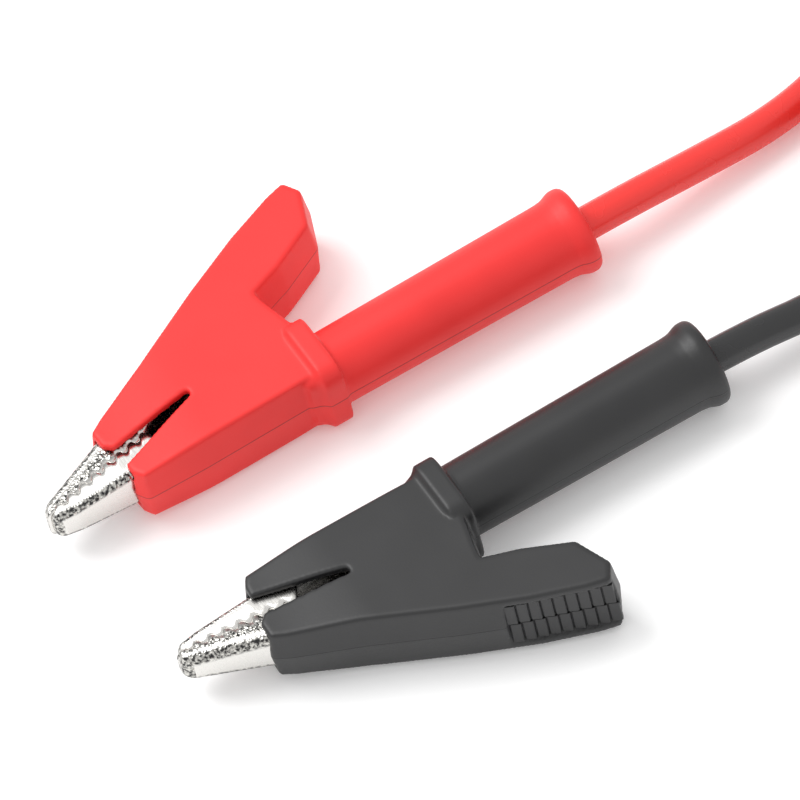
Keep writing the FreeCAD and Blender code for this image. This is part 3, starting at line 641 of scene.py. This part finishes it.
# %% Grip ribs
RIB_COUNT = 9
RIB_PITCH = 1.37
RIB_SHAPE = [(0.0, -0.6), (1.37, -0.6), (1.37, -0.12), (1.3, 0.12), (1.16, 0.2), (0.18, 0.06),
             (0.06, -0.02)]
RIB_ROWS = ((0.06, 3.3, 0.12), (-3.3, -0.06, -0.12))
RIB_EDGE = 0.06


def grip_ribs(material):
    """Both rows of ribs in the clip's frame, running along the lever's edge."""
    rows = []
    step = grip_point(RIB_PITCH, 0) - grip_point(0, 0)
    for low, high, shift in RIB_ROWS:
        corners = [grip_point(along + shift, out - 0.1) for along, out in RIB_SHAPE]
        rib = lofted("rib", [[(*place, height) for place in corners] for height in (low, high)])
        edge = rib.modifiers.new("edge", "BEVEL")
        edge.width = RIB_EDGE
        edge.segments = 2
        rows.append(row_of(rib, material, RIB_COUNT, (*step, 0.0)))
    return joined("grip", rows)


for lead in LEADS:
    grip = place_piece(f"{lead}_grip_ribs", grip_ribs(BOOT_FINISH[lead]), CLIP[lead],
                       BOOT_FINISH[lead], smooth=False)
    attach(grip, f"{lead}_jaw")
    print(grip.name, len(grip.data.polygons), "faces")

# %% [markdown]
# ## Nickel plate
# The jaws are pressed from 0.7 mm steel and plated with bright nickel. The flats keep the rolled
# sheet's fine grain, and the press leaves the outside of the bend rough and sparkling. That band has
# rough bumps and a painted shade: dark grey speckled colour in place of the shade and dark reflection
# on the bend. The jaws' meshes mark that band with an attribute of their own, named bend. On the
# lever's jaw the rough finish and its painted shade cover the short toothed sides too.

# %% Metal finishes
BEND_SHADE_MARK = "bend"
GRAIN_STRETCH = 0.12
DARKER_GRAIN = 0.86
# The press marks are finer on the real part and are drawn this coarse so that they show.
CRUMB_MM = 0.3
# The speckle also sets the pattern of the bend's painted shade.
SPECKLE_MM = 0.35


def plated(name, colour, roughness, scratch_mm=0.12, rough_shaded_bend=False):
    made, tree, shader = finish(name, Metallic=1.0)
    place = add(tree, "ShaderNodeTexCoord").outputs["Object"]
    long_way = add(tree, "ShaderNodeMapping",
                   {"Vector": place, "Scale": (1.0, GRAIN_STRETCH, 1.0)}).outputs["Vector"]
    grain = add(tree, "ShaderNodeTexNoise", {
        "Vector": long_way, "Scale": per_metre(scratch_mm), "Detail": 3.0})
    rough = add(tree, "ShaderNodeMapRange", {
        "Value": grain.outputs["Fac"], "To Min": roughness - 0.08, "To Max": roughness + 0.12})
    rough = rough.outputs["Result"]
    bump = add(tree, "ShaderNodeBump",
               {"Height": grain.outputs["Fac"], "Strength": 0.15, "Distance": 0.02 * MM})
    normal = bump.outputs["Normal"]
    ramp = add(tree, "ShaderNodeValToRGB", {"Fac": grain.outputs["Fac"]})
    ramp.color_ramp.elements[0].color = (*(DARKER_GRAIN * part for part in linear(colour)[:3]), 1.0)
    ramp.color_ramp.elements[1].color = linear(colour)
    tint = ramp.outputs["Color"]
    if rough_shaded_bend:
        bend_shade_mark = add(tree, "ShaderNodeAttribute", attribute_name=BEND_SHADE_MARK).outputs["Fac"]
        crumbs = add(tree, "ShaderNodeTexVoronoi",
                     {"Vector": place, "Scale": per_metre(CRUMB_MM), "Randomness": 1.0})
        speckle = add(tree, "ShaderNodeTexNoise",
                      {"Vector": place, "Scale": per_metre(SPECKLE_MM), "Detail": 4.0})
        # Painted shade: the marked band is coloured dark grey with light speckles, standing in for the
        # shade and dark reflection on the bend.
        bend_shade_ramp = add(tree, "ShaderNodeValToRGB", {"Fac": speckle.outputs["Fac"]})
        bend_shade_ramp.color_ramp.elements[0].position = 0.42
        bend_shade_ramp.color_ramp.elements[0].color = linear("#3a3a3a")
        bend_shade_ramp.color_ramp.elements[1].position = 0.62
        bend_shade_ramp.color_ramp.elements[1].color = linear("#d8d6d0")
        tint = add(tree, "ShaderNodeMixRGB", {
            "Fac": bend_shade_mark, "Color1": tint, "Color2": bend_shade_ramp.outputs["Color"]}).outputs["Color"]
        depth = add(tree, "ShaderNodeMath", {0: bend_shade_mark, 1: crumbs.outputs["Distance"]},
                    operation="MULTIPLY")
        normal = add(tree, "ShaderNodeBump", {
            "Height": depth.outputs[0], "Normal": normal, "Strength": 0.7,
            "Distance": 0.12 * MM}).outputs["Normal"]
    tree.links.new(tint, shader.inputs["Base Color"])
    tree.links.new(rough, shader.inputs["Roughness"])
    tree.links.new(normal, shader.inputs["Normal"])
    return made


NICKEL = plated("bright nickel plate", "#e4e2de", 0.24)
PRESSED_NICKEL_SHADED_BEND = plated("pressed nickel plate", "#e6e4e0", 0.24, rough_shaded_bend=True)
SPRING_STEEL = plated("spring steel wire", "#9a9894", 0.3)
BRASS = plated("turned brass", "#c9a65a", 0.28)
COPPER = plated("tinned copper strands", "#c98a5e", 0.35, scratch_mm=0.25)

# %% [markdown]
# ## Jaws
# Each jaw is one pressing: a channel whose back, bends and toothed sides close round the nose. It is
# drawn as a skin that follows the channel's plan down one side, round the nose and up the other, with
# rows from the toothed rim over the bend to the back. Solidify gives the sheet its thickness.

# %% Jaw lines
SHEET = 0.7
FIXED_BEND = 0.9
LEVER_BEND = 1.2
NOSE_CORNER = 1.0
TOOTH_PITCH = 1.73
TOOTH_HEIGHT = 0.38
TOOTH_BLUNT = 0.12
TOOTH_GAP = 0.14
TEETH_FROM, TEETH_TO = -26.9, -14.1
PIVOT = Vector((-1.5, 6.3))
JAW_STEP = 0.13


def along_line(x, line):
    """Height at x on a line through (x, y) points."""
    for (x0, y0), (x1, y1) in zip(line, line[1:]):
        if x <= x1 or (x1, y1) == line[-1]:
            return y0 + (y1 - y0) * (x - x0) / (x1 - x0)
    return line[-1][1]


def closing(x):
    """The wavy line on which the teeth meet."""
    wave = 0.0
    if TEETH_FROM < x < TEETH_TO:
        turn = math.tau * (x - TEETH_FROM) / TOOTH_PITCH
        wave = TOOTH_HEIGHT * (math.sin(turn) + TOOTH_BLUNT * math.sin(3 * turn))
    return 0.19 * (x + 28.9) + wave


def ear(x, radius, sense):
    """Height of a round ear about the pivot, or None away from it."""
    reach = radius ** 2 - (x - PIVOT.x) ** 2
    return PIVOT.y + sense * math.sqrt(reach) if reach > 0 else None


FIXED_BACK = [(-27.8, -0.85), (-25.0, -1.2), (-20.0, -1.25), (4.4, -1.25)]
FIXED_RIM = [(TEETH_TO, 2.9), (-13.0, 0.9), (-7.0, 1.0), (-4.2, 5.6), (-3.9, 7.0), (0.9, 7.0),
             (1.2, 5.6), (3.2, 1.2), (4.4, 1.2)]
LEVER_BACK = [(-28.2, 1.85), (-20.0, 5.1), (-8.5, 10.6), (-1.5, 14.1), (6.0, 17.9), (13.5, 20.7)]
LEVER_RIM = [(TEETH_TO, 2.9), (-13.0, 3.9), (-7.0, 6.8), (-3.9, 6.6), (0.9, 6.6), (1.2, 8.5),
             (3.2, 13.2), (13.5, 18.4)]


def fixed_rim(x):
    if x < TEETH_TO:
        return closing(x) - TOOTH_GAP / 2
    return max(along_line(x, FIXED_RIM), ear(x, 2.6, 1) or -9.0)


def lever_rim(x):
    if x < TEETH_TO:
        return closing(x) + TOOTH_GAP / 2
    return min(along_line(x, LEVER_RIM), ear(x, 2.4, -1) or 99.0)


def fixed_half(x):
    return along_line(x, [(-27.8, 1.95), (-18.5, 2.75), (-8.0, 3.05), (4.4, 3.05)])


def lever_half(x):
    return along_line(x, [(-27.8, 1.95), (-18.5, 2.75), (-9.0, 2.95), (-6.0, 2.3), (13.5, 2.3)])


# %% Jaw skins
BEND_STEPS = 5
FLANGE_ROWS = 3
ACROSS_NOSE = 6


def jaw_plan(rear, nose, half):
    """The channel's plan from the rear of one side round the nose to the rear of the other."""
    side = []
    steps = round((rear - nose - NOSE_CORNER) / JAW_STEP)
    for step in range(steps + 1):
        x = rear + (nose + NOSE_CORNER - rear) * step / steps
        side.append((x, half(x), 0.0, -1.0))
    corner_z = half(nose + NOSE_CORNER) - NOSE_CORNER
    for step in range(1, 6):
        angle = math.pi / 2 * step / 6
        side.append((nose + NOSE_CORNER * (1 - math.sin(angle)),
                     corner_z + NOSE_CORNER * math.cos(angle), math.sin(angle), -math.cos(angle)))
    front = [(nose, corner_z * (1 - 2 * step / ACROSS_NOSE), 1.0, 0.0)
             for step in range(ACROSS_NOSE + 1)]
    other = [(x, -z, dx, -dz) for x, z, dx, dz in reversed(side)]
    return side + front + other


def jaw_mesh(name, rear, nose, half, rim, back, bend_radius, rough_shaded_side):
    """One jaw in the clip's frame, with the bend marked for its rough finish and painted shade."""
    maker = bmesh.new()
    bend_shade_mark = maker.verts.layers.float.new(BEND_SHADE_MARK)
    columns = []
    for x, z, inward_x, inward_z in jaw_plan(rear, nose, half):
        top, bottom = rim(max(x, nose + 0.5)), back(x)
        sense = 1 if bottom > top else -1
        bend = min(bend_radius, 0.85 * abs(bottom - top))
        column = []
        for row in range(FLANGE_ROWS):
            height = top + (bottom - sense * bend - top) * row / FLANGE_ROWS
            # On the lever's jaw the flange rows get the mark too, for the rough finish and its painted
            # shade.
            column.append((x, height, z, 1.0 if rough_shaded_side and row else 0.0))
        for row in range(BEND_STEPS + 1):
            angle = math.pi / 2 * row / BEND_STEPS
            inward = bend * (1 - math.cos(angle))
            height = bottom - sense * bend * (1 - math.sin(angle))
            share = 1.0 if 0 < row < BEND_STEPS else 0.0
            column.append((x + inward_x * inward, height, z + inward_z * inward, share))
        verts = []
        for *place, share in column:
            vert = maker.verts.new(place)
            vert[bend_shade_mark] = share
            verts.append(vert)
        columns.append(verts)
    for left, right in zip(columns, columns[1:]):
        for row in range(len(left) - 1):
            maker.faces.new((left[row], right[row], right[row + 1], left[row + 1]))
    for number in range(len(columns) // 2 - 1):
        mirrored = len(columns) - 1 - number
        maker.faces.new((columns[number][-1], columns[number + 1][-1],
                         columns[mirrored - 1][-1], columns[mirrored][-1]))
    bmesh.ops.remove_doubles(maker, verts=maker.verts, dist=0.001)
    jaw = mesh_object(name, maker)
    sheet = jaw.modifiers.new("sheet", "SOLIDIFY")
    sheet.thickness = SHEET
    sheet.offset = -1.0
    data = plain_mesh(jaw, name)
    bpy.data.objects.remove(jaw)
    return data


# %% Jaws in place
fixed_jaw = jaw_mesh("fixed_jaw", 4.4, -27.8, fixed_half, fixed_rim,
                     lambda x: along_line(x, FIXED_BACK), FIXED_BEND, False)
lever_jaw = jaw_mesh("lever_jaw", 13.5, -28.2, lever_half, lever_rim,
                     lambda x: along_line(x, LEVER_BACK), LEVER_BEND, True)
for lead in LEADS:
    for node, body, data in ((f"{lead}_fixed_jaw", "root", fixed_jaw),
                             (f"{lead}_lever_jaw", f"{lead}_jaw", lever_jaw)):
        jaw = place_piece(f"{node}_pressing", data.copy(), CLIP[lead], PRESSED_NICKEL_SHADED_BEND)
        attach(jaw, body)
        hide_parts(node)
print("jaw faces", len(fixed_jaw.polygons), len(lever_jaw.polygons))

# %% [markdown]
# ## Springs
# A torsion spring is one wire: a leg on the fixed jaw, four close turns round the rivet and a leg on
# the lever. A curve through those points, with a round section, draws it. The turns twist a little as
# the lever moves.

# %% Wound springs
WIRE = 0.3
WOUND_RADIUS = 1.4
WOUND_TURNS = 4
WOUND_HALF = 1.15
WOUND_STEPS = 24
FIXED_FOOT = Vector((-9.2, -0.1))
LEVER_FOOT = Vector((5.0, 16.2))


def spring_mesh():
    """The spring's wire in the clip's frame."""
    fixed_way = (FIXED_FOOT - PIVOT).normalized()
    start_angle = math.atan2(fixed_way.y, fixed_way.x) + math.pi / 2
    lever_way = (LEVER_FOOT - PIVOT).normalized()
    end_angle = math.atan2(lever_way.y, lever_way.x) + math.pi / 2 + math.pi
    sweep = WOUND_TURNS * math.tau + (end_angle - start_angle) % math.tau
    steps = round(sweep / math.tau * WOUND_STEPS)
    points = [(*FIXED_FOOT, -WOUND_HALF)]
    for step in range(steps + 1):
        angle = start_angle + sweep * step / steps
        points.append((PIVOT.x + WOUND_RADIUS * math.cos(angle),
                       PIVOT.y + WOUND_RADIUS * math.sin(angle),
                       WOUND_HALF * (2 * step / steps - 1)))
    points.append((*LEVER_FOOT, WOUND_HALF))
    data = bpy.data.curves.new("spring", "CURVE")
    data.dimensions = "3D"
    spline = data.splines.new("POLY")
    spline.points.add(len(points) - 1)
    for point, place in zip(spline.points, points):
        point.co = (*place, 1.0)
    data.bevel_depth = WIRE
    data.bevel_resolution = 3
    data.use_fill_caps = True
    wire = bpy.data.objects.new("spring", data)
    bpy.context.scene.collection.objects.link(wire)
    made = plain_mesh(wire, "spring")
    bpy.data.objects.remove(wire)
    return made


for lead in LEADS:
    wire = place_piece(f"{lead}_wound_spring", spring_mesh(), CLIP[lead], SPRING_STEEL)
    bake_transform(wire)
    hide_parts(f"{lead}_jaw_spring")
    print(wire.name, len(wire.data.polygons), "faces")

# %% [markdown]
# ## Parts kept from the CAD model
# The rivets, conductors and clamp screws are already the right shape, so the CAD nodes stay and only
# take a finish.

# %% Finishes for kept parts


def wear(node, material):
    """Give a CAD node this finish."""
    kept = bpy.data.objects[node]
    if not kept.data.materials:
        kept.data.materials.append(material)
    for used in kept.material_slots:
        used.material = material


for lead in LEADS:
    wear(f"{lead}_pivot_rivet", NICKEL)
    wear(f"{lead}_conductor", COPPER)
    wear(f"{lead}_cord_root", CORD_FINISH[lead])
    wear(f"{lead}_plug_wire", CORD_FINISH[lead])
    wear(f"{lead}_plug_contact", BRASS)
    wear(f"{lead}_clamp_screw", SPRING_STEEL)
    wear(f"{lead}_banana_pin", NICKEL)
for number in (1, 2):
    wear(f"plug_screw_{number}", SPRING_STEEL)

# %% [markdown]
# ## Twin plug and coil ties
# The plug's housing is glass-filled nylon, harder and duller than the cords, with finger ridges on its
# short sides. The two ties are nylon webbing. The housing and ties start as copies of the CAD shapes,
# cleaned of their loose triangles and given the small edge radii that moulds leave.

# %% Plug and tie finishes
NYLON_GRAIN_MM = 0.4
WEAVE_MM = 0.8


def nylon(name, colour, pattern_mm, depth_mm, roughness, woven=False):
    made, tree, shader = finish(name, IOR=1.53, Base_Color=linear(colour))
    place = add(tree, "ShaderNodeTexCoord").outputs["Object"]
    noise = add(tree, "ShaderNodeTexNoise",
                {"Vector": place, "Scale": per_metre(pattern_mm), "Detail": 3.0})
    height = noise.outputs["Fac"]
    rough = add(tree, "ShaderNodeMapRange", {
        "Value": height, "To Min": roughness - 0.08, "To Max": roughness + 0.08})
    if woven:
        ribs = add(tree, "ShaderNodeTexWave", {
            "Vector": place, "Scale": per_metre(pattern_mm) / math.tau, "Distortion": 0.4})
        cross = add(tree, "ShaderNodeTexWave", {
            "Vector": place, "Scale": per_metre(pattern_mm) / math.tau, "Distortion": 0.4},
            bands_direction="Y")
        height = add(tree, "ShaderNodeMath", {
            0: ribs.outputs["Fac"], 1: cross.outputs["Fac"]}, operation="MULTIPLY").outputs[0]
    bump = add(tree, "ShaderNodeBump",
               {"Height": height, "Strength": 0.5, "Distance": depth_mm * MM})
    tree.links.new(rough.outputs["Result"], shader.inputs["Roughness"])
    tree.links.new(bump.outputs["Normal"], shader.inputs["Normal"])
    return made


PLUG_NYLON = nylon("black glass-filled nylon", "#242426", NYLON_GRAIN_MM, 0.05, 0.5)
WEBBING = nylon("woven nylon webbing", "#1d1d20", WEAVE_MM, 0.2, 0.75, woven=True)

# %% Housing and ties
SHARP_EDGE = math.radians(35)
PLUG_EDGE = 0.4 * MM
TIE_EDGE = 0.25 * MM
WELD = 1e-6
FLAT_ENOUGH = math.radians(1)


def softened(node, name, width, material):
    """A copy of a CAD shape with rounded edges, in place of the node."""
    maker = bmesh.new()
    maker.from_mesh(bpy.data.objects[node].data)
    bmesh.ops.remove_doubles(maker, verts=maker.verts, dist=WELD)
    bmesh.ops.dissolve_limit(maker, angle_limit=FLAT_ENOUGH, verts=maker.verts,
                             edges=maker.edges)
    rough = mesh_object(name, maker)
    edge = rough.modifiers.new("edge", "BEVEL")
    edge.width = width
    edge.segments = 3
    edge.limit_method = "ANGLE"
    edge.angle_limit = SHARP_EDGE
    data = plain_mesh(rough, name)
    bpy.data.objects.remove(rough)
    made = place_piece(name, data, Matrix.Identity(4), material, smooth=False)
    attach(made, "root")
    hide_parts(node)
    return made


softened("plug_base", "plug_base_moulding", PLUG_EDGE, PLUG_NYLON)
softened("plug_cover", "plug_cover_moulding", PLUG_EDGE, PLUG_NYLON)
for number in (1, 2):
    softened(f"coil_tie_{number}", f"coil_tie_{number}_webbing", TIE_EDGE, WEBBING)

# %% Finger ridges
RIDGE_COUNT = 7
RIDGE_PITCH = 1.9
RIDGE_WIDTH = 1.0
RIDGE_PROUD = 0.5
RIDGE_INTO = 0.4
RIDGE_MARGIN = 2.4
RIDGE_EDGE = 0.12

base_low, base_high = (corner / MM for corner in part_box("plug_base"))
cover_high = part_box("plug_cover")[1] / MM
middle_x = (base_low.x + base_high.x) / 2
first_x = middle_x - RIDGE_PITCH * (RIDGE_COUNT - 1) / 2 - RIDGE_WIDTH / 2
side_y = cover_high.y
for name, sign in (("left", 1), ("right", -1)):
    corners = [(first_x, -RIDGE_INTO), (first_x + RIDGE_WIDTH, -RIDGE_INTO),
               (first_x + RIDGE_WIDTH, 0.0), (first_x + 0.75 * RIDGE_WIDTH, RIDGE_PROUD),
               (first_x + 0.25 * RIDGE_WIDTH, RIDGE_PROUD), (first_x, 0.0)]
    levels = (base_low.z + RIDGE_MARGIN, cover_high.z - RIDGE_MARGIN)
    ridge = lofted("ridge", [[(x, sign * (side_y + out), height) for x, out in corners]
                             for height in levels])
    edge = ridge.modifiers.new("edge", "BEVEL")
    edge.width = RIDGE_EDGE
    edge.segments = 2
    data = row_of(ridge, PLUG_NYLON, RIDGE_COUNT, (RIDGE_PITCH, 0.0, 0.0))
    made = place_piece(f"plug_ridges_{name}", data, Matrix.Scale(MM, 4), PLUG_NYLON, smooth=False)
    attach(made, "root")
print("finger ridges from x =", round(first_x, 1), "mm")

# %% Strain reliefs
RELIEF_FINISH = {
    "red": moulded_pvc("red relief PVC", "#f22a28", "#eb2624", "#b51b1b", 0.45),
    "black": moulded_pvc("black relief PVC", "#242425", "#1e1e1f", "#0d0d0e", 0.42),
}
RELIEF_LENGTH = 11.0
RELIEF_TUBE = [(-RELIEF_LENGTH, 2.2), (-RELIEF_LENGTH, 2.6), (-RELIEF_LENGTH + 0.3, 2.8),
               (0.0, 3.6), (0.5, 3.6), (0.5, 2.2)]
RING = [(-1.7, 2.6), (-1.7, 3.6), (-1.5, 3.9), (-0.7, 4.0), (-0.5, 3.8), (-0.5, 2.6)]
RING_COUNT = 6
RING_STEP = (-1.75, 0.0, 0.0)
TIP_SHARE = 0.76


def turned_ring(name, profile, sides=64):
    """A ring turned about the x axis from a closed profile."""
    maker = bmesh.new()
    rows = []
    for side in range(sides):
        turn = math.tau * side / sides
        rows.append([maker.verts.new((along, radius * math.cos(turn), radius * math.sin(turn)))
                     for along, radius in profile])
    count = len(profile)
    for number, row in enumerate(rows):
        after = rows[(number + 1) % sides]
        for step in range(count):
            up = (step + 1) % count
            maker.faces.new((row[step], row[up], after[up], after[step]))
    return mesh_object(name, maker)


for lead in LEADS:
    low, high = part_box(f"{lead}_plug_relief")
    root = Vector((low.x + RELIEF_LENGTH * MM, (low.y + high.y) / 2, (low.z + high.z) / 2))
    tube = turned_ring("tube", RELIEF_TUBE)
    tube_data = tube.data
    bpy.data.objects.remove(tube)
    rings = row_of(turned_ring("ring", RING), RELIEF_FINISH[lead], RING_COUNT, RING_STEP, TIP_SHARE)
    data = joined("relief", [tube_data, rings])
    relief = place_piece(f"{lead}_ribbed_relief", data,
                         Matrix.Translation(root) @ Matrix.Scale(MM, 4), RELIEF_FINISH[lead])
    data.set_sharp_from_angle(angle=SHARP_EDGE)
    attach(relief, "root")
    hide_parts(f"{lead}_plug_relief")
    print(relief.name, len(data.polygons), "faces")

# %% [markdown]
# ## The cords' facts
# Each cord leaves the end of the boot's neck and ends in the
# twin plug, which the coil's two leads share.

# %% [markdown]
# ## Bench and light
# A white sweep and soft light. The world gives an even fill, and one large area light, high and to the
# left behind the clips, gives the tops their brightness and leaves soft shadows to the lower right.

# %% Floor
FLOOR_HALF = 1.5
FLOOR_GLOW = 0.15
PATCH_MM = 40.0

maker = bmesh.new()
bmesh.ops.create_grid(maker, x_segments=1, y_segments=1, size=FLOOR_HALF)
floor = mesh_object("floor", maker)
floor_paint, tree, shader = finish("white bench", Roughness=0.6, Emission_Strength=FLOOR_GLOW,
                                   Emission_Color=(1.0, 1.0, 1.0, 1.0))
speck = add(tree, "ShaderNodeTexNoise", {
    "Vector": add(tree, "ShaderNodeTexCoord").outputs["Object"], "Scale": per_metre(PATCH_MM)})
ramp = add(tree, "ShaderNodeValToRGB", {"Fac": speck.outputs["Fac"]})
ramp.color_ramp.elements[0].color = linear("#f6f6f6")
ramp.color_ramp.elements[1].color = linear("#fafafa")
tree.links.new(ramp.outputs["Color"], shader.inputs["Base Color"])
floor.data.materials.append(floor_paint)

# %% Light
FILL = 0.85
KEY_POWER = 4.9
KEY_SIZE = 0.55
KEY_PLACE = Vector((-0.30, 0.42, 0.80))

world = bpy.data.worlds.new("soft fill")
world.use_nodes = True
background = world.node_tree.nodes["Background"]
background.inputs["Color"].default_value = (1.0, 1.0, 1.0, 1.0)
background.inputs["Strength"].default_value = FILL
bpy.context.scene.world = world

key_data = bpy.data.lights.new("key", "AREA")
key_data.size = KEY_SIZE
key_data.energy = KEY_POWER
key = bpy.data.objects.new("key", key_data)
key.location = KEY_PLACE
key.rotation_euler = (AIM - KEY_PLACE).to_track_quat("-Z", "Y").to_euler()
bpy.context.scene.collection.objects.link(key)
bpy.context.scene.view_settings.view_transform = "Standard"
